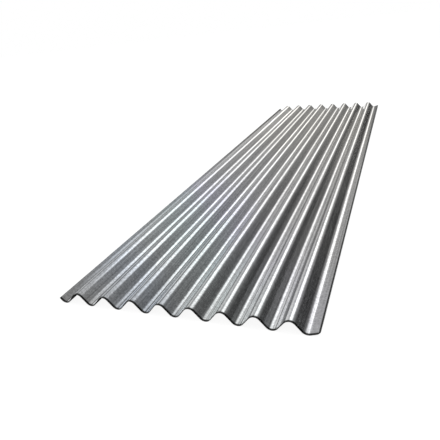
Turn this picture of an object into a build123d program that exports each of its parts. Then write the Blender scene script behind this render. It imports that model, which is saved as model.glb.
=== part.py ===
"""Corrugated steel roofing sheet, rolled from one flat strip.

The wave is arcs and tangents, as a corrugating mill rolls it: round crests and round
troughs of one bend radius, joined by straight flanks. Both long edges stop past the last
trough, so that the next sheet laps over them. The left lip runs up at the angle of the
flanks, and the right one is rolled flatter. The two ends are sheared square.

Frame: X across the waves, Y along them, +Z up. The origin is in the middle of the sheet's
footprint, at the height of the floor that its troughs lie on.
"""

import os
from math import asin, atan2, cos, degrees, hypot, radians, sin

from build123d import *

# Driving dimensions, in millimetres and degrees
sheet_length = 2400.0  # along the waves
crest_pitch = 76.2  # crest to crest
crest_count = 8  # full crests across the sheet
wave_depth = 28.6  # trough to crest on the same face of the steel
steel_thickness = 1.6  # zinc coating included
inner_bend_radius = 15.0  # inside of each crest and trough
left_lip_run = 17.2  # from the bottom of the first trough out to the left edge
right_lip_run = 24.9  # from the bottom of the last trough out to the right edge
right_lip_angle = radians(18.0)  # slope of the flatter right lip

# The wave's middle line
half_thickness = steel_thickness / 2
bend_radius = inner_bend_radius + half_thickness
half_pitch = crest_pitch / 2
overlap = 2 * bend_radius - wave_depth
flank_angle = asin(2 * bend_radius / hypot(half_pitch, overlap)) - atan2(overlap, half_pitch)

# The section is centred between the outermost points of the two lips
left_reach = left_lip_run + half_thickness * sin(flank_angle)
right_reach = right_lip_run + half_thickness * sin(right_lip_angle)
first_trough = (left_reach - right_reach) / 2 - crest_count * half_pitch
last_trough = first_trough + crest_count * crest_pitch


def fold_point(x, left_angle, right_angle, crest=False):
    """Where the tangents on both sides of a bend would meet, for a bend centred on x."""
    lean = (right_angle - left_angle) / 2
    reach = bend_radius / cos((left_angle + right_angle) / 2)
    drop = reach * cos(lean) - bend_radius
    height = half_thickness + wave_depth + drop if crest else half_thickness - drop
    return x + reach * sin(lean), height


def lip_end(trough, run, angle, side):
    """End of a lip that leaves its trough's bend at an angle; side is -1 left, 1 right."""
    return trough + side * run, half_thickness + bend_radius + (run * sin(angle) - bend_radius) / cos(angle)


def folded_line():
    """Corner points of the section's middle line, from the left edge to the right edge."""
    corners = [lip_end(first_trough, left_lip_run, flank_angle, -1)]
    for wave in range(crest_count):
        trough = first_trough + wave * crest_pitch
        corners.append(fold_point(trough, flank_angle, flank_angle))
        corners.append(fold_point(trough + half_pitch, flank_angle, flank_angle, crest=True))
    corners.append(fold_point(last_trough, flank_angle, right_lip_angle))
    corners.append(lip_end(last_trough, right_lip_run, right_lip_angle, 1))
    return corners


with BuildPart() as sheet:
    with BuildSketch(Plane.XZ):
        with BuildLine():
            FilletPolyline(*folded_line(), radius=bend_radius)
        trace(line_width=steel_thickness)
    extrude(amount=sheet_length / 2, both=True)

sheet.part.label = "corrugated_sheet"

os.makedirs("parts", exist_ok=True)
export_step(sheet.part, "parts/corrugated_sheet.step")

box = sheet.part.bounding_box()
print(f"flanks slope {degrees(flank_angle):.2f} degrees, {len(sheet.faces())} faces")
print(f"from {box.min} to {box.max}, volume {sheet.part.volume:.0f} mm3")
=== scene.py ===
# %% [markdown]
# # A corrugated steel sheet
# The object is one sheet of galvanised steel. A mill rolled it from a flat strip into
# eight full waves, and a shear cut its two ends square. Everything that the eye reads
# on it is either the wave or what the wave reflects, so most of this lesson is about
# an exact cross-section and about a studio that bright metal can mirror.
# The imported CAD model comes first. It fixes the size and the place of all that follows.

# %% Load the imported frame
from math import asin, atan2, cos, degrees, hypot, pi, radians, sin, tan

import bmesh
import bpy
from mathutils import Matrix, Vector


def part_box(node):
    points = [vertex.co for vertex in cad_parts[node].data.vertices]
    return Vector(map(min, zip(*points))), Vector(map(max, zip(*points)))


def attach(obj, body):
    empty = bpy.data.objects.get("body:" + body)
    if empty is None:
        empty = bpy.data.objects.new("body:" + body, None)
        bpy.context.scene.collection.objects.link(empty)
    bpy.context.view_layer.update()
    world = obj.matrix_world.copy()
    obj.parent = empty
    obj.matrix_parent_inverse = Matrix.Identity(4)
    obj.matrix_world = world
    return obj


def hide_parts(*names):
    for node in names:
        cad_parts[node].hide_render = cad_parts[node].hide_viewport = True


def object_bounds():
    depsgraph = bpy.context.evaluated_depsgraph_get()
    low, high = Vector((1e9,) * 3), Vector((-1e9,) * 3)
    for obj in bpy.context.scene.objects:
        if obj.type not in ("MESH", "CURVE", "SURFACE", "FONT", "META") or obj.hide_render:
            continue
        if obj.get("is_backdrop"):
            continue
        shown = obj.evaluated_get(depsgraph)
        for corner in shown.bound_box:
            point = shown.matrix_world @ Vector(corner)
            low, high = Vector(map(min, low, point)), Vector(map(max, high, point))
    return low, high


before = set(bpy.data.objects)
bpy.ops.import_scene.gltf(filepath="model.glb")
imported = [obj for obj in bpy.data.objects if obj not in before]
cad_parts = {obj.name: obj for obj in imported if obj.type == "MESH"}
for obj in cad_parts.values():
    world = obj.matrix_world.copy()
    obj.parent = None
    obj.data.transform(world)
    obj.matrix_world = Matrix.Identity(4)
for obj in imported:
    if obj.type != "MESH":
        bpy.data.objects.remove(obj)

cad_low, cad_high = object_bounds()
sheet_low, sheet_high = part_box("corrugated_sheet")
print("CAD sheet:", [round(1000 * side, 2) for side in sheet_high - sheet_low], "mm")

# %% [markdown]
# ## The wave as a folded line
# A rolled wave is made of round bends of one radius, joined by straight flanks. A sine
# curve looks alike at first sight, but it has no straight flanks, and metal shows that
# at once in its reflections. So the wave is drawn as a folded paper strip first: sharp
# corners where the tangents of each bend would meet, to be rounded later.
# The same few measures that drive the CAD sheet give the corners, here in metres.

# %% Measures of the sheet
crest_pitch = 0.0762
crest_count = 8
wave_depth = 0.0286
steel_thickness = 0.0016
bend_radius = 0.0158  # to the middle of the steel
left_lip_run = 0.0172
right_lip_run = 0.0249
right_lip_angle = radians(18)
sheet_length = (sheet_high - sheet_low).y

half_thickness = steel_thickness / 2
half_pitch = crest_pitch / 2
overlap = 2 * bend_radius - wave_depth
flank_angle = asin(2 * bend_radius / hypot(half_pitch, overlap)) - atan2(overlap, half_pitch)
left_reach = left_lip_run + half_thickness * sin(flank_angle)
right_reach = right_lip_run + half_thickness * sin(right_lip_angle)
first_trough = (left_reach - right_reach) / 2 - crest_count * half_pitch
last_trough = first_trough + crest_count * crest_pitch
print("flanks rise at", round(degrees(flank_angle), 2), "degrees")


# %% Corners of the folded line
def fold_corner(x, left_angle, right_angle, crest=False):
    """Where the tangents on both sides of a bend would meet, for a bend centred on x."""
    lean = (right_angle - left_angle) / 2
    reach = bend_radius / cos((left_angle + right_angle) / 2)
    drop = reach * cos(lean) - bend_radius
    height = half_thickness + wave_depth + drop if crest else half_thickness - drop
    return x + reach * sin(lean), height


def lip_edge(trough, run, angle, side):
    """The cut edge of a lip that leaves its trough's bend at an angle."""
    rise = (run * sin(angle) - bend_radius) / cos(angle)
    return trough + side * run, half_thickness + bend_radius + rise


corners = [lip_edge(first_trough, left_lip_run, flank_angle, -1)]
for wave in range(crest_count):
    trough = first_trough + wave * crest_pitch
    corners.append(fold_corner(trough, flank_angle, flank_angle))
    corners.append(fold_corner(trough + half_pitch, flank_angle, flank_angle, crest=True))
corners.append(fold_corner(last_trough, flank_angle, right_lip_angle))
corners.append(lip_edge(last_trough, right_lip_run, right_lip_angle, 1))
print(len(corners) - 2, "folds between the two long edges")

# %% [markdown]
# ## Folding the strip
# The real sheet starts as flat strip, and so does this one: as one plane, laid exactly
# where the left lip lies. Its free long edge is then extruded from corner to corner, as
# if the sheet were folded on a brake. One wave could also be copied with an Array
# modifier, but the two lips differ, and one folded strip has no seams to weld.
# Each extruded flat is a clean rectangle as long as the sheet, which the bevel needs.

# %% The left lip as a plane
bpy.ops.object.select_all(action="DESELECT")
(edge_x, edge_z), (fold_x, fold_z) = corners[:2]
lip_width = hypot(fold_x - edge_x, fold_z - edge_z)
bpy.ops.mesh.primitive_plane_add(
    size=1,
    location=((edge_x + fold_x) / 2, 0, (edge_z + fold_z) / 2),
    rotation=(0, flank_angle, 0),
)
sheet = bpy.context.object
sheet.name = sheet.data.name = "rolled_steel_sheet"
sheet.scale = (lip_width, sheet_length, 1)
bpy.ops.object.transform_apply(location=True, rotation=True, scale=True)
print("left lip is", round(1000 * lip_width, 1), "mm wide before its bend is rounded")

# %% Extrude from corner to corner
same_place = 1e-5


def pick_edges(mesh, wanted):
    """Selects only those edges of the mesh in edit mode for which wanted(edge) is true."""
    for group in (mesh.faces, mesh.edges, mesh.verts):
        for element in group:
            element.select = False
    for edge in mesh.edges:
        if wanted(edge):
            edge.select_set(True)


def lies_at(edge, x, z):
    """True if the whole edge runs along the sheet at that place of the cross-section."""
    return all(hypot(end.co.x - x, end.co.z - z) < same_place for end in edge.verts)


bpy.ops.object.mode_set(mode="EDIT")
bpy.ops.mesh.select_mode(type="EDGE")
pick_edges(bmesh.from_edit_mesh(sheet.data), lambda edge: lies_at(edge, *corners[1]))
for (from_x, from_z), (to_x, to_z) in zip(corners[1:], corners[2:]):
    bpy.ops.mesh.extrude_region_move(
        TRANSFORM_OT_translate={"value": (to_x - from_x, 0, to_z - from_z)}
    )
print("folded strip:", len(bmesh.from_edit_mesh(sheet.data).faces), "flats")

# %% [markdown]
# ## Rounding the bends
# On the real sheet each fold is an arc of the mill's bend radius. A Bevel modifier
# could round them all, but with one width for all, and the last bend turns less than
# the others, because the right lip is flatter. So the bevel operator runs twice.
# It cuts a corner off and fills it with an arc that is tangent to both flats. Its
# offset is how far the arc's start lies from the corner: the radius times the tangent
# of half the turn.

# %% Bevel all folds
bend_steps = 14


def round_bends(folds, turn):
    """Bevels the folds at these corners to arcs of the bend radius."""
    mesh = bmesh.from_edit_mesh(sheet.data)
    pick_edges(mesh, lambda edge: any(lies_at(edge, *fold) for fold in folds))
    offset = bend_radius * tan(turn / 2)
    bpy.ops.mesh.bevel(
        offset_type="OFFSET",
        offset=offset,
        segments=bend_steps,
        profile=0.5,
        affect="EDGES",
        clamp_overlap=False,
    )
    print(len(folds), "bends rounded, each arc starts", round(1000 * offset, 2), "mm from its corner")


round_bends(corners[1:-2], 2 * flank_angle)
round_bends(corners[-2:-1], flank_angle + right_lip_angle)

# %% [markdown]
# ## Cuts across the sheet
# The strips are as long as the sheet and have points only at its two ends. A later step
# ripples the surface, and it needs points to move all along. Every edge that runs along
# the sheet is therefore subdivided, which cuts all strips at the same places. The
# normals are made to agree while the sheet is open in edit mode, with the top outwards.

# %% Cut the strips across
cross_cuts = 47
mesh = bmesh.from_edit_mesh(sheet.data)
pick_edges(mesh, lambda edge: abs(edge.verts[0].co.y - edge.verts[1].co.y) > sheet_length / 2)
bpy.ops.mesh.subdivide(number_cuts=cross_cuts)
bpy.ops.mesh.select_all(action="SELECT")
bpy.ops.mesh.normals_make_consistent(inside=False)
bpy.ops.object.mode_set(mode="OBJECT")
if sheet.data.polygons[0].normal.z < 0:
    sheet.data.flip_normals()
step = sheet_length / (cross_cuts + 1)
print(len(sheet.data.polygons), "faces, each", round(1000 * step, 1), "mm long")

# %% [markdown]
# ## One rounded corner
# The sheet's corner at the near right is a little rounded: the sharp tip of a lip is
# soon taken off or bent. A Boolean with a cylinder could cut it, but while the sheet is
# still a thin surface its corner is one point, and a bevel on that point does the same
# in one step. It keeps the surface in one piece for the steps that follow.

# %% Round the near right corner
corner_radius = 0.009
bpy.ops.object.mode_set(mode="EDIT")
bpy.ops.mesh.select_all(action="DESELECT")
bpy.ops.mesh.select_mode(type="VERT")
mesh = bmesh.from_edit_mesh(sheet.data)
corner = max(mesh.verts, key=lambda point: point.co.x - point.co.y)
corner.select_set(True)
bpy.ops.mesh.bevel(
    offset_type="OFFSET",
    offset=corner_radius,
    segments=6,
    affect="VERTICES",
    clamp_overlap=False,
)
bpy.ops.object.mode_set(mode="OBJECT")
print("corner rounded at", [round(value, 3) for value in sheet.data.vertices[-1].co])

# %% [markdown]
# ## A slow ripple
# Real sheet isn't optically flat. It comes off the mill with slow ripples, a millimetre
# or so over a hand's length, and they make long reflections waver. They could be faked
# with a bump in the material, but then the outline would stay ruler-straight. A
# Displace modifier with a soft cloud pattern moves the points themselves.
# The ripple makes the wave a little deeper, so the sheet is pressed back to its depth.


# %% Ripple the sheet
def finish_with(kind, name, **settings):
    """Adds a modifier with these settings to the sheet and applies it."""
    bpy.ops.object.modifier_add(type=kind)
    modifier = sheet.modifiers[-1]
    modifier.name = name
    for key, value in settings.items():
        setattr(modifier, key, value)
    bpy.ops.object.modifier_apply(modifier=name)


ripple = bpy.data.textures.new("mill_ripple", type="CLOUDS")
ripple.noise_scale = 0.22
ripple.noise_depth = 1
finish_with(
    "DISPLACE",
    "ripple",
    texture=ripple,
    strength=0.0007,
    mid_level=0.5,
    texture_coords="LOCAL",
    direction="Z",
)
heights = [point.co.z for point in sheet.data.vertices]
ripple_low, ripple_high = min(heights), max(heights)
added = ripple_high - ripple_low - wave_depth
print("the ripple adds", round(1000 * added, 2), "mm to the depth")

# %% Press it back to its depth
press = wave_depth / (ripple_high - ripple_low)
bpy.ops.object.mode_set(mode="EDIT")
bpy.ops.mesh.select_all(action="SELECT")
bpy.ops.transform.resize(value=(1, 1, press), center_override=(0, 0, 0))
bpy.ops.transform.translate(value=(0, 0, half_thickness - ripple_low * press))
bpy.ops.object.mode_set(mode="OBJECT")
print("the sheet is pressed to", round(press, 3), "of its height")

# %% [markdown]
# ## Thickness
# Until now the sheet is a surface in the middle of the steel. Extruding it downwards
# would leave the steep flanks thinner than the crests. Solidify moves each point along
# its normal instead, to both sides evenly, and closes the rim. The rim gets the second
# material, because the shear cuts through the zinc and bares the steel.

# %% Give the steel its thickness
finish_with(
    "SOLIDIFY",
    "thickness",
    thickness=steel_thickness,
    offset=0,
    use_even_offset=True,
    use_rim=True,
    material_offset_rim=1,
)
sharp_from = radians(35)
bpy.ops.object.shade_smooth_by_angle(angle=sharp_from)
made_low, made_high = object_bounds()
print("made:", [round(1000 * side, 2) for side in made_high - made_low], "mm")

# %% [markdown]
# ## Zinc: crystals and rolling lines
# Hot-dip zinc freezes into crystals, the spangle, and each mirrors a little differently.
# Rolling then draws fine lines and wider streaks along the sheet. A picture of real
# zinc could be wrapped round the sheet, but it would repeat and blur close by.
# Patterns made by nodes do neither. Voronoi cells give the crystals, and noise that is
# stretched along the sheet gives the lines. All of them read Object coordinates, so
# they are fixed to the steel.


# %% Start a finish from nodes
def new_finish(name):
    """An empty material; returns the material and its node tree."""
    material = bpy.data.materials.new(name)
    material.use_nodes = True
    tree = material.node_tree
    tree.nodes.clear()
    return material, tree


def add(tree, kind, inputs=None, **settings):
    """Adds a node, sets its properties and fills its inputs with values or links."""
    node = tree.nodes.new(kind)
    for key, value in settings.items():
        setattr(node, key, value)
    for key, value in (inputs or {}).items():
        if isinstance(value, bpy.types.NodeSocket):
            tree.links.new(value, node.inputs[key])
        else:
            node.inputs[key].default_value = value
    return node


zinc, tree = new_finish("spangled_zinc")
place = add(tree, "ShaderNodeTexCoord").outputs["Object"]
across, along, _ = add(tree, "ShaderNodeSeparateXYZ", {"Vector": place}).outputs
print("the zinc reads", place.name, "coordinates: across the waves and along them")

# %% Crystals, lines and streaks
crystals_per_metre = 240.0


def streaks(tree, place, per_metre_across, per_metre_along, detail, roughness=0.5):
    """Noise that is stretched along the sheet."""
    scale = (per_metre_across, per_metre_along, per_metre_across)
    stretched = add(tree, "ShaderNodeMapping", {"Vector": place, "Scale": scale}).outputs[0]
    inputs = {"Vector": stretched, "Scale": 1.0, "Detail": detail, "Roughness": roughness}
    return add(tree, "ShaderNodeTexNoise", inputs).outputs[0]


spangle = add(
    tree,
    "ShaderNodeTexVoronoi",
    {"Vector": place, "Scale": crystals_per_metre, "Randomness": 1.0},
    feature="F1",
)
crystal = add(tree, "ShaderNodeSeparateColor", {"Color": spangle.outputs["Color"]}).outputs[0]
lines = streaks(tree, place, per_metre_across=520, per_metre_along=3.5, detail=3.0)
drawn = streaks(tree, place, per_metre_across=210, per_metre_along=1.3, detail=4.0, roughness=0.65)
cloud = add(tree, "ShaderNodeTexNoise", {"Vector": place, "Scale": 7.0, "Detail": 3.0}).outputs[0]
print("crystals are about", round(1000 / crystals_per_metre, 1), "mm wide")


# %% How strongly they show
def maths(tree, operation, *values):
    """A Math node on values or links; returns its result."""
    return add(tree, "ShaderNodeMath", dict(enumerate(values)), operation=operation).outputs[0]


def mixed_in(tree, base, pattern, strength, middle):
    """The base with a pattern added, less its middle value, so that the base stays level."""
    return maths(tree, "MULTIPLY_ADD", pattern, strength, maths(tree, "SUBTRACT", base, middle))


darkest_crystal = 0.85
crystal_contrast = 0.34
shade = maths(tree, "MULTIPLY_ADD", crystal, crystal_contrast, darkest_crystal)
shade = mixed_in(tree, shade, lines, strength=0.42, middle=0.21)
shade = mixed_in(tree, shade, drawn, strength=1.25, middle=0.62)
print("crystals vary from", darkest_crystal, "to", round(darkest_crystal + crystal_contrast, 2))

# %% [markdown]
# ## Zinc: the film in its colours
# New sheet is passivated against white rust. The film is so thin that it shimmers,
# faintly: from blue and green at the near left corner over violet to a warm grey at the
# far end. Towards the near right it is thinner, and the zinc looks plain. Thin-film
# settings in the shader could compute it, but its bands follow the film's uneven
# thickness, not the view. So a slow value runs slantwise over the sheet, noise makes it
# wander, and a colour ramp turns it into bands.
# Where something changes, it fades from one place to another. Places are in metres from
# the middle of the sheet: across runs from -0.326 at the left edge to 0.326 at the
# right, and along from -1.2 at the near end to 1.2 at the far one.

# %% Tints of the film
film_tints = [
    (0.03, (0.625, 0.625, 0.62)),
    (0.1, (0.583, 0.622, 0.678)),
    (0.15, (0.6, 0.628, 0.64)),
    (0.205, (0.575, 0.636, 0.645)),
    (0.25, (0.58, 0.63, 0.668)),
    (0.295, (0.608, 0.612, 0.695)),
    (0.34, (0.612, 0.617, 0.657)),
    (0.39, (0.62, 0.62, 0.63)),
    (0.47, (0.624, 0.622, 0.62)),
    (0.6, (0.637, 0.624, 0.598)),
    (0.8, (0.642, 0.625, 0.585)),
]
print(len(film_tints), "tints, each with its place on the ramp")


# %% Bands of the film
def ramp(tree, factor, stops):
    """A colour ramp through (place, grey or colour) stops; returns its colour."""
    node = add(tree, "ShaderNodeValToRGB", {"Fac": factor})
    elements = node.color_ramp.elements
    while len(elements) < len(stops):
        elements.new(0.5)
    for element, (stop, shade) in zip(elements, stops):
        element.position = stop
        element.color = (*shade, 1) if isinstance(shade, tuple) else (shade, shade, shade, 1)
    return node.outputs["Color"]


film_slant = 1.2  # the bands lie this much further along for each metre to the left
film_length = 3.0  # metres of sheet that the ramp spans
drift = streaks(tree, place, per_metre_across=9, per_metre_along=2.2, detail=2.0)
film = maths(tree, "MULTIPLY_ADD", across, film_slant, along)
film = mixed_in(tree, film, drift, strength=0.35, middle=0.055)
film = maths(tree, "MULTIPLY_ADD", film, 1 / film_length, 0.5)
banded = ramp(tree, film, film_tints)
print("the bands span", film_length, "m of sheet")


# %% The near right stays plain
def fade(tree, value, low, high):
    """Rises smoothly from 0 to 1 while the value goes from low to high."""
    inputs = {"Value": value, "From Min": low, "From Max": high}
    return add(tree, "ShaderNodeMapRange", inputs, interpolation_type="SMOOTHSTEP").outputs[0]


def product(tree, first, *others):
    """All the values multiplied with each other."""
    for other in others:
        first = maths(tree, "MULTIPLY", first, other)
    return first


def mix(tree, share, first, second, blend="MIX"):
    """Goes from the first colour to the second as the share goes from 0 to 1."""
    inputs = {"Factor": share, 6: first, 7: second}
    return add(tree, "ShaderNodeMix", inputs, data_type="RGBA", blend_type=blend).outputs[2]


plain_zinc = (0.63, 0.624, 0.614, 1)
plain_at_most = 0.62
right_half = fade(tree, across, -0.09, 0.13)
near_half = fade(tree, along, 0.6, -0.2)
tint = mix(tree, product(tree, right_half, near_half, plain_at_most), banded, plain_zinc)
print("plain zinc:", plain_zinc[:3])

# %% [markdown]
# ## Zinc: painted dark lines
# Faint dark lines of painted shade run along the sheet at the same places of every
# wave. They could be drawn one by one. It is quicker to count in waves: the fraction of
# the wave number is 0 in a trough and a half on a crest, on every wave alike, and a ramp
# over it draws the lines. They are painted strongest on the near left of the sheet and
# fade out further off.


# %% Lines at the same place of each wave
def lines_at(marks):
    """Ramp stops for soft lines: where each starts, is full, fades and ends, and its depth."""
    stops = []
    for start, full, fading, end, depth in marks:
        stops += [(start, 0.0), (full, depth), (fading, depth), (end, 0.0)]
    return stops


wave = maths(tree, "DIVIDE", maths(tree, "SUBTRACT", across, first_trough), crest_pitch)
in_wave = maths(tree, "FRACT", wave)
# painted shade: where each dark line starts, is full, fades and ends, and its depth
painted_dark_lines = [
    (0.02, 0.045, 0.07, 0.095, 0.7),
    (0.365, 0.385, 0.41, 0.43, 0.6),
    (0.465, 0.485, 0.505, 0.525, 0.65),
    (0.95, 0.965, 0.985, 1.0, 0.6),
]
painted_line_shade = ramp(tree, in_wave, [(0.0, 0.0)] + lines_at(painted_dark_lines))
print(len(painted_dark_lines), "lines on each wave")


# %% Draw them into the shade
def toned(tree, shade, mask, change):
    """The shade made lighter, or darker for a negative change, where the mask is 1."""
    return maths(tree, "MULTIPLY", shade, maths(tree, "MULTIPLY_ADD", mask, change, 1.0))


least_line_shade = 0.1
on_left = fade(tree, across, 0.1, -0.08)
at_near_end = fade(tree, along, -0.3, -0.95)
line_shade_share = maths(tree, "MULTIPLY_ADD", on_left, 1 - least_line_shade, least_line_shade)
# painted shade: the dark lines darken the zinc, most at the near left
shade = toned(tree, shade, product(tree, painted_line_shade, product(tree, line_shade_share, at_near_end)), change=-1.0)
print("roll marks are clearest at the near left")

# %% [markdown]
# ## Zinc: painted light and shade on sides, feet and lips
# The zinc is painted lighter or darker in places, as painted light and shade. The flanks
# that face left are painted a little lighter at the near end, darker further down the
# sheet, and lighter on its right and at the far left. The feet of the flanks that face
# right, the flat right lip near its end and the far rim are painted darker. Lamps could
# darken such places, but a lamp doesn't know a foot from a crest. Masks do: they come
# from the normal, from the place in the wave, and from the place on the sheet.

# %% Painted light and shade on flanks that face left
facing = add(tree, "ShaderNodeTexCoord").outputs["Normal"]
facing_x, _, facing_z = add(tree, "ShaderNodeSeparateXYZ", {"Vector": facing}).outputs
left_side = fade(tree, facing_x, 0.0, -0.35)
past_near_end = fade(tree, along, -1.05, -0.65)
on_right = fade(tree, across, 0.02, 0.27)
far_left = product(tree, fade(tree, across, -0.12, -0.26), fade(tree, along, 0.1, 0.8))
near_change, past_change, right_change, far_left_change = 0.12, -0.3, 0.45, 0.45
# painted light and shade: flanks that face left are made lighter or darker by place
left_flank_light_and_shade = maths(tree, "MULTIPLY_ADD", past_near_end, past_change, near_change)
left_flank_light_and_shade = maths(tree, "MULTIPLY_ADD", on_right, right_change, left_flank_light_and_shade)
left_flank_light_and_shade = maths(tree, "MULTIPLY_ADD", far_left, far_left_change, left_flank_light_and_shade)
shade = toned(tree, shade, left_side, change=left_flank_light_and_shade)
change_past_it = round(near_change + past_change, 2)
print("flanks facing left:", near_change, "at the near end,", change_past_it, "past it")

# %% Painted shade on the feet of the flanks that face right
foot = ramp(tree, in_wave, lines_at([(0.64, 0.75, 0.88, 0.955, 1.0)]))
right_of_middle = fade(tree, across, -0.02, 0.12)
left_of_last_flank = fade(tree, across, 0.262, 0.24)
on_near_half = fade(tree, along, 0.3, -0.5)
low_flank_painted_shade = product(tree, foot, right_of_middle, left_of_last_flank, on_near_half)
# painted shade: the feet of the right-facing flanks are painted darker
shade = toned(tree, shade, low_flank_painted_shade, change=-0.44)
print("feet darkened on the near right, but not on the last flank")

# %% Painted shade on the flat lip and the far rim
lip_start, lip_full = last_trough + 0.004, last_trough + 0.009
# painted shade: the flat right lip is painted darker towards the near end
flat_lip_painted_shade = product(tree, fade(tree, across, lip_start, lip_full), fade(tree, along, -0.1, -1.2))
shade = toned(tree, shade, flat_lip_painted_shade, change=-0.38)
# painted shade: the last ten centimetres of the far end are painted darker
far_rim_painted_shade = fade(tree, along, 1.09, 1.185)
shade = toned(tree, shade, far_rim_painted_shade, change=-0.33)
print("flat lip is dull from", round(1000 * lip_full), "mm right of the middle")

# %% [markdown]
# ## Zinc: painted shade on the edges and painted light on a corner
# The right edge has a narrow strip of painted shade, the left lip is painted darker apart
# from its outer flank at the near end, and the far left is painted lighter. A second
# shader on top could do it, but here it only darkens or lightens the zinc, so masks by
# the distance from each edge are enough.

# %% Painted shade along the right edge
side_shade_start, side_shade_full, side_shade_at_most = 0.0115, 0.0016, 0.5
narrowing = maths(tree, "MULTIPLY_ADD", along, -0.26, 0.54)  # more at the near end than far off
to_side = maths(tree, "MULTIPLY", maths(tree, "SUBTRACT", sheet_high.x, across), narrowing)
near_side = fade(tree, to_side, side_shade_start, side_shade_full)
# painted shade: a dark strip along the right edge, wider and darker towards the far end
side_painted_shade = product(tree, near_side, fade(tree, along, -1.0, 1.3), side_shade_at_most)
print("soiled strip ends at x =", round(1000 * sheet_high.x), "mm")

# %% Painted shade on the left lip
on_lip = fade(tree, across, first_trough + 0.003, first_trough - 0.005)
outer_flank = fade(tree, across, first_trough - 0.009, first_trough - 0.013)
plain_outer_flank = product(tree, outer_flank, fade(tree, along, 1.3, -0.6))
lip_shade_depth = maths(tree, "MULTIPLY_ADD", along, 0.14, 0.6)  # 0.43 at the near end, 0.77 at the far one
# painted shade: the left lip is painted darker, more towards the far end
painted_darker = product(tree, on_lip, lip_shade_depth, maths(tree, "SUBTRACT", 1.0, plain_outer_flank))
shade = toned(tree, shade, maths(tree, "MAXIMUM", side_painted_shade, painted_darker), change=-1.0)
print("left lip is dulled from x =", round(1000 * first_trough), "mm outwards")

# %% Painted light on the far left
off_lip = maths(tree, "SUBTRACT", 1.0, on_lip)
far_left_painted_light = product(tree, fade(tree, across, -0.14, -0.28), fade(tree, along, 0.2, 0.8), off_lip)
# painted light: the far left is painted half as bright again
shade = toned(tree, shade, far_left_painted_light, change=0.5)
colour = mix(tree, 1.0, tint, shade, blend="MULTIPLY")
print("far left is half as bright again")

# %% [markdown]
# ## Zinc: the dark line of painted shade
# Along both ends and the right edge runs a thin dark line of painted shade, an outline
# along the edge. The sheared rim alone is too thin to carry it. A separate strip of dark
# mesh would stand proud of the steel, so the line is painted into the zinc, by the
# distance from the nearest edge.

# %% Paint the dark line of shade
outline_shade_start, outline_shade_full = 0.0042, 0.0026
end_stretch = 0.66  # under 1, so that the line is wider at the ends than at the side
outline_shade_black = (0.03, 0.03, 0.03, 1)
to_end = maths(tree, "SUBTRACT", sheet_length / 2, maths(tree, "ABSOLUTE", along))
to_end = maths(tree, "MULTIPLY", to_end, end_stretch)
to_edge = maths(tree, "MINIMUM", to_side, to_end)
inputs = {"Value": to_edge, "From Min": outline_shade_start, "From Max": outline_shade_full}
shade_painted = add(tree, "ShaderNodeMapRange", inputs).outputs[0]
# painted shade: the zinc turns nearly black close to the ends and the right edge
colour = mix(tree, shade_painted, colour, outline_shade_black)
print("worn line is", round(1000 * outline_shade_full / end_stretch, 1), "mm wide at the ends, and then fades")

# %% [markdown]
# ## Zinc: gloss, lines and the painted dark back
# The top is bare metal with a satin gloss, so it is a metallic shader with a low
# roughness that drifts in clouds. A faint bump from the rolling lines lengthens the
# highlights along the sheet, which an anisotropic shader could do as well, only
# without the single lines. The underside is painted nearly black and dull, as painted
# shade, and shows only under the near ends of the waves. Solidify made it with the same
# material, so the shader tells the two sides apart by whether the surface faces down.

# %% Metal on top, painted shade below
smoothest, cloud_adds, crystal_adds = 0.10, 0.10, 0.02
line_depth = 0.0004
roughness = maths(tree, "MULTIPLY_ADD", cloud, cloud_adds, smoothest)
roughness = maths(tree, "MULTIPLY_ADD", crystal, crystal_adds, roughness)
line_inputs = {"Strength": 0.18, "Distance": line_depth, "Height": lines}
bump = add(tree, "ShaderNodeBump", line_inputs).outputs[0]
skin = add(
    tree,
    "ShaderNodeBsdfPrincipled",
    {"Base Color": colour, "Metallic": 1.0, "Roughness": roughness, "Normal": bump},
)
under = maths(tree, "LESS_THAN", facing_z, 0.0)
# painted shade: the underside is painted nearly black
underside_shade_grey = ramp(tree, cloud, [(0.3, 0.02), (0.7, 0.04)])
underside_painted_shade = add(tree, "ShaderNodeBsdfDiffuse", {"Color": underside_shade_grey, "Roughness": 0.6})
both_sides = add(tree, "ShaderNodeMixShader", {0: under, 1: skin.outputs[0], 2: underside_painted_shade.outputs[0]})
add(tree, "ShaderNodeOutputMaterial", {"Surface": both_sides.outputs[0]})
sheet.data.materials.append(zinc)
print("zinc finish has", len(tree.nodes), "nodes")

# %% [markdown]
# ## The sheared edge
# The shear leaves a rough rim of bare steel, and its colour is painted nearly black, as
# painted shade, so that it outlines the waves at the near end. It could share the zinc
# with a darker mask, but Solidify has already given the rim its own material slot, so a
# short finish of its own is clearer: steel painted nearly black, with a fine grain.

# %% Cut steel, painted dark
sheared, tree = new_finish("sheared_edge_painted_shade")
place = add(tree, "ShaderNodeTexCoord").outputs["Object"]
grain = add(tree, "ShaderNodeTexNoise", {"Vector": place, "Scale": 300.0, "Detail": 2.0}).outputs[0]
# painted shade: the rim's steel is coloured nearly black
edge_shade_colour = ramp(tree, grain, [(0.3, (0.015, 0.015, 0.016)), (0.7, (0.05, 0.05, 0.05))])
cut = add(
    tree,
    "ShaderNodeBsdfPrincipled",
    {"Base Color": edge_shade_colour, "Metallic": 0.8, "Roughness": 0.5},
)
add(tree, "ShaderNodeOutputMaterial", {"Surface": cut.outputs[0]})
sheet.data.materials.append(sheared)
print("finishes on the sheet:", [slot.name for slot in sheet.material_slots])

# %% [markdown]
# ## Joining the frame
# The real sheet has no moving parts, so this piece rides on the root body. It has the
# size of the plain CAD sheet and takes its place. It could also lie on top of it as a
# skin, but the two surfaces would then flicker through each other.

# %% Ride on the root body
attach(sheet, "root")
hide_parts("corrugated_sheet")
print(sheet.name, "rides on the root body")

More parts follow.
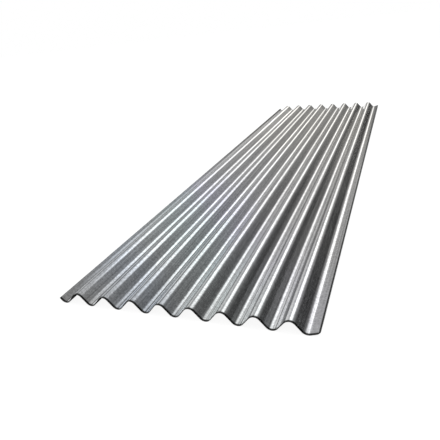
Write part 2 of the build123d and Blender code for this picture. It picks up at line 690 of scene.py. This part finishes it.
# %% [markdown]
# ## Floor
# The sheet lies on a white floor that runs out of view. A floor that is lit until it is
# white would flood the metal with light, so the paint stays a plain pale grey, and
# where the camera or a reflection sees it, it glows white by itself. Under the sheet it
# doesn't glow: what shows there is the sheet's own shadow.


# %% White floor
def seen_directly(tree):
    """1 for a ray from the camera or one by way of a mirror or glass, otherwise 0."""
    path = add(tree, "ShaderNodeLightPath").outputs
    mirrored = maths(tree, "MAXIMUM", path["Is Glossy Ray"], path["Is Transmission Ray"])
    return maths(tree, "MAXIMUM", path["Is Camera Ray"], mirrored)


def outside(tree, value, limit):
    """1 where the value lies further from 0 than the limit, otherwise 0."""
    return maths(tree, "GREATER_THAN", maths(tree, "ABSOLUTE", value), limit)


floor_size = 60
bpy.ops.mesh.primitive_plane_add(size=floor_size, location=(0, 0, 0))
floor = bpy.context.object
floor.name = "studio_floor"
print("floor is", floor_size, "m wide")

# %% Floor paint
shadow_half_width = 0.325
shadow_half_length = sheet_length / 2 - 0.04
glow_share, glow_level = 0.85, 1.08
pale_grey = (0.8, 0.8, 0.8, 1)
white = (1, 1, 1, 1)
floor_paint, tree = new_finish("white_floor")
place = add(tree, "ShaderNodeTexCoord").outputs["Object"]
across, along, _ = add(tree, "ShaderNodeSeparateXYZ", {"Vector": place}).outputs
beside = outside(tree, across, shadow_half_width)
beyond = outside(tree, along, shadow_half_length)
glowing = product(tree, seen_directly(tree), maths(tree, "MAXIMUM", beside, beyond), glow_share)
paint = add(tree, "ShaderNodeBsdfDiffuse", {"Color": pale_grey}).outputs[0]
glow = add(tree, "ShaderNodeEmission", {"Color": white, "Strength": glow_level}).outputs[0]
mixed = add(tree, "ShaderNodeMixShader", {0: glowing, 1: paint, 2: glow})
add(tree, "ShaderNodeOutputMaterial", {"Surface": mixed.outputs[0]})
floor.data.materials.append(floor_paint)
floor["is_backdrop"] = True
shadow_size = [round(2 * half, 2) for half in (shadow_half_width, shadow_half_length)]
print("floor glows outside", shadow_size, "m")

# %% [markdown]
# ## World
# Beyond the floor's edge lies the world. It gives a soft light from all round, a little
# under white, so that pale surfaces don't clip. A brighter world would also turn the
# background white, but it would wash the shadow out. So the light stays low, and only
# what the camera or a reflection sees of the world is full white.

# %% Soft world, white background
soft_level, background_level = 0.9, 1.0
world = bpy.data.worlds.new("studio")
bpy.context.scene.world = world
world.use_nodes = True
tree = world.node_tree
tree.nodes.clear()
soft = add(tree, "ShaderNodeBackground", {"Color": white, "Strength": soft_level}).outputs[0]
full = add(tree, "ShaderNodeBackground", {"Color": white, "Strength": background_level}).outputs[0]
mixed = add(tree, "ShaderNodeMixShader", {0: seen_directly(tree), 1: soft, 2: full})
add(tree, "ShaderNodeOutputWorld", {"Surface": mixed.outputs[0]})
print("world light is", soft_level, "of white")

# %% [markdown]
# ## A light tent for metal
# Bright metal shows its surroundings rather than its own colour. A photographer lays
# such a sheet in a long tent of white cloth, and so does this scene. Separate area
# lamps could light it too, but each would show as a hard bar on every wave, with black
# between. Half a cylinder around the sheet gives every flank something soft to mirror.
# Both its ends are open, and it runs far back, where the shallow reflections go.

# %% The tent's shape
tent_radius = 2.6
tent_start = -4.0
tent_end = 22.0
floor_gap = 0.001
bpy.ops.mesh.primitive_cylinder_add(
    vertices=96,
    radius=tent_radius,
    depth=tent_end - tent_start,
    end_fill_type="NOTHING",
    location=(0, (tent_start + tent_end) / 2, 0),
    rotation=(pi / 2, 0, 0),
)
tent = bpy.context.object
tent.name = "light_tent"
bpy.ops.object.transform_apply(location=True, rotation=True, scale=True)
bpy.ops.object.mode_set(mode="EDIT")
bpy.ops.mesh.select_all(action="SELECT")
bpy.ops.mesh.bisect(plane_co=(0, 0, floor_gap), plane_no=(0, 0, 1), clear_inner=True)
bpy.ops.object.mode_set(mode="OBJECT")
print("tent is", round(tent.dimensions.y, 1), "m long and", round(tent.dimensions.z, 1), "m high")

# %% [markdown]
# ## Greys of the tent
# Each flank mirrors one direction of the tent, so the tent's greys decide how light
# that flank is: pale cloth on the left for the flanks that face left, and darker cloth
# low on the right for the dark flanks. The near half of the sheet mirrors the near
# part of the tent, and the far half the far part. The greys could be many panels of
# cloth. One ramp over the direction, for near and for far, is easier to tune.

# %% Directions in the tent
cloth, tree = new_finish("tent_cloth")
place = add(tree, "ShaderNodeTexCoord").outputs["Object"]
across, along, up = add(tree, "ShaderNodeSeparateXYZ", {"Vector": place}).outputs
lean = maths(tree, "ARCTAN2", across, up)
turn = maths(tree, "MULTIPLY_ADD", lean, 1 / pi, 0.5)  # 0 at the left floor edge, 1 at the right


def tent_greys(stops):
    """A ramp over the tent; each stop is degrees to the right of straight up, and a grey."""
    return ramp(tree, turn, [(degrees_right / 180 + 0.5, grey) for degrees_right, grey in stops])


def leaning(low, high):
    """Rises from 0 to 1 while the direction goes from low to high degrees to the right."""
    return fade(tree, lean, radians(low), radians(high))


print("directions run from -90 degrees at the left floor edge to 90 at the right")

# %% Near and far cloth
near_stops = [(-90, 0.36), (-70, 0.76), (-52, 0.6), (-40, 0.62), (20, 0.5)]
near_stops += [(44, 0.24), (56, 0.2), (68, 0.12), (78, 0.06), (88, 0.04)]
far_stops = [(-90, 0.3), (-70, 0.4), (-22, 0.42), (20, 0.4), (40, 0.22), (50, 0.15)]
far_stops += [(58, 0.28), (67, 0.27), (76, 0.12), (84, 0.04)]
far_share = fade(tree, along, 3.0, 12.0)
greys = mix(tree, far_share, tent_greys(near_stops), tent_greys(far_stops))
print("near cloth has", len(near_stops), "greys and far cloth", len(far_stops))

# %% [markdown]
# ## A low glow
# Low on the right the far cloth isn't evenly dark: a faint light lies in it, as from a
# wall of the room, and it lifts the feet of the right-hand flanks a little. It could be
# one more stop on the ramp, but it has soft edges on all sides and its own strength, so
# it is added to the greys by itself.

# %% A low glow on the right
glow_strength = 0.13
low_glow = product(tree, leaning(70, 54), leaning(28, 44), fade(tree, along, 1.2, 3.5))
greys = maths(tree, "MULTIPLY_ADD", low_glow, glow_strength, greys)
print("low glow adds", glow_strength, "between 28 and 70 degrees")

# %% [markdown]
# ## What the flanks mirror in each other
# The flanks that face left hardly see the tent. They see the next flank, and in it the
# tent for a second time. In a real studio that second reflection is dimmed by every
# fold of cloth and card around it. Here Light Path counts the bounces, and the tent
# shows other greys from the second bounce on, so that these flanks can be tuned
# without changing the first ones.

# %% Greys for the second reflection
first_bounce = maths(tree, "LESS_THAN", add(tree, "ShaderNodeLightPath").outputs["Glossy Depth"], 1.5)
near_second = [(-90, 0.85), (-50, 1.4), (-22, 1.4), (-8, 0.5), (3, 0.3), (20, 0.32)]
near_second += [(34, 0.5), (62, 0.65), (76, 0.5), (90, 0.15)]
far_second = [(-90, 0.5), (-50, 0.8), (-22, 0.8), (-8, 0.4), (2, 0.2), (22, 0.2)]
far_second += [(34, 0.42), (64, 0.42), (71, 0.75), (77, 1.2), (90, 1.0)]
second_greys = mix(tree, far_share, tent_greys(near_second), tent_greys(far_second))
greys = mix(tree, first_bounce, second_greys, greys)
print("second reflection is brightest at", max(grey for _, grey in near_second))

# %% [markdown]
# ## The softbox overhead
# One wide, soft lamp over the sheet draws the bright line on each crest and in each
# trough, and it is the only full white that the metal sees. It could be a real area
# lamp, but its edges would be sharp on such smooth metal. Drawn into the tent's cloth,
# its four edges fade as softly as needed. A thin veil darkens the cloth round it.

# %% Panel and veil
panel_left, panel_right = -10, 14
panel_strength = 1.25
veil = product(tree, leaning(30, 0), fade(tree, along, 1.6, 3.6))
greys = toned(tree, greys, veil, change=-0.25)
left_edge = leaning(-26, panel_left)
right_edge = leaning(40, panel_right)
near_edge = fade(tree, along, 0.9, 2.2)
panel = product(tree, left_edge, right_edge, near_edge, first_bounce)
level = maths(tree, "MULTIPLY_ADD", panel, panel_strength, greys)
panel_width = tent_radius * radians(panel_right - panel_left)
print("panel is", round(panel_width, 1), "m wide, with soft edges beside it")

# %% [markdown]
# ## Hanging the tent
# A real tent has a slit for the camera, and its cloth lets the room's light through. A
# slit would show on the metal as a dark line. Blender can do without one: ray
# visibility hides the tent from the camera, keeps it from shading the floor, and leaves
# it to mirror reflections alone.


# %% Hang the tent for reflections only
def only_in_reflections(piece):
    """Hides a piece of the studio from all rays but those of a mirror reflection."""
    for ray in ("camera", "diffuse", "shadow", "transmission", "volume_scatter"):
        setattr(piece, "visible_" + ray, False)


cloth_glow = add(tree, "ShaderNodeEmission", {"Color": white, "Strength": level}).outputs[0]
add(tree, "ShaderNodeOutputMaterial", {"Surface": cloth_glow})
tent.data.materials.append(cloth)
only_in_reflections(tent)
tent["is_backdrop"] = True
print(tent.name, "is seen by mirror reflections only")

# %% [markdown]
# ## A black flag
# Photographers stand a black card, a flag, beside bright metal where they want a dark
# reflection. The right-hand flanks look out just over the floor, where the floor would
# show them white. Darker paint on the floor would spoil the background, so a low strip
# of black felt stands far back on the right, and only reflections see it.

# %% Black felt on the right
flag_height = 0.16
flag_length = 17
flag_middle = (0.62, 10.5, flag_height / 2)
felt_level = 0.03
bpy.ops.mesh.primitive_plane_add(size=1, location=flag_middle, rotation=(0, pi / 2, 0))
flag = bpy.context.object
flag.name = "black_flag"
flag.scale = (flag_height, flag_length, 1)
felt, tree = new_finish("black_felt")
felt_black = add(tree, "ShaderNodeEmission", {"Color": white, "Strength": felt_level}).outputs[0]
add(tree, "ShaderNodeOutputMaterial", {"Surface": felt_black})
flag.data.materials.append(felt)
only_in_reflections(flag)
flag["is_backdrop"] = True
print("flag is", flag_length, "m long and", round(100 * flag_height), "cm high")

# %% [markdown]
# ## Overhead lamp
# The tent doesn't light the floor, so one real lamp does: a wide area lamp that throws
# a soft, faint shadow under the sheet. A sun lamp would throw a hard one. The metal
# doesn't see this lamp, because the tent's panel is what it mirrors.

# %% Overhead lamp for the floor
lamp_width, lamp_length, lamp_watts = 2.4, 4.0, 60
lamp_place = (0.8, 0.5, 3.0)
lamp_tilt = radians(15)
bpy.ops.object.light_add(type="AREA", location=lamp_place, rotation=(0, lamp_tilt, 0))
lamp = bpy.context.object
lamp.name = "overhead_softbox"
lamp.data.shape = "RECTANGLE"
lamp.data.size = lamp_width
lamp.data.size_y = lamp_length
lamp.data.energy = lamp_watts
lamp.visible_glossy = False
print("lamp is", lamp_width, "by", lamp_length, "m, with", lamp_watts, "W")

# %% [markdown]
# ## Camera
# The camera stands in front of the near end, a little to its right, and looks along the
# waves and down. Tracking a target would be the quick way, but the photograph is also
# tilted a little to one side, so three plain turns are given: about the vertical, down
# from the horizon, and about the line of sight. They and the lens were found by
# setting the ends of the crests and troughs against the photograph.

# %% Place the camera
camera_place = (0.4537, -1.9454, 0.6007)
turned = radians(23.007)
looking_down = radians(23.318)
tilted = radians(-6.785)
bpy.ops.object.camera_add(location=camera_place)
camera = bpy.context.object
camera.name = "camera"
aim = Matrix.Rotation(turned, 4, "Z")
aim = aim @ Matrix.Rotation(pi / 2 - looking_down, 4, "X")
aim = aim @ Matrix.Rotation(tilted, 4, "Z")
camera.rotation_euler = aim.to_euler()
camera.data.lens = 36.915
camera.data.sensor_width = 36
camera.data.clip_start = 0.01
bpy.context.scene.camera = camera
bpy.context.scene.view_settings.view_transform = "Standard"
print("camera stands", round(camera.location.length, 2), "m from the middle of the sheet")

# %% [markdown]
# Metal shows a wrong width less readily than a wrong reflection, so the size is
# measured and not judged by eye. How far the finished sheet lies past the CAD box is
# printed, and it should be a few hundredths of a millimetre.

# %% Print how far the sheet lies past the CAD box
made_low, made_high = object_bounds()
past_low = [round(1000 * (cad - made), 3) for cad, made in zip(cad_low, made_low)]
past_high = [round(1000 * (made - cad), 3) for cad, made in zip(cad_high, made_high)]
print("past the CAD box:", past_low, past_high, "mm")
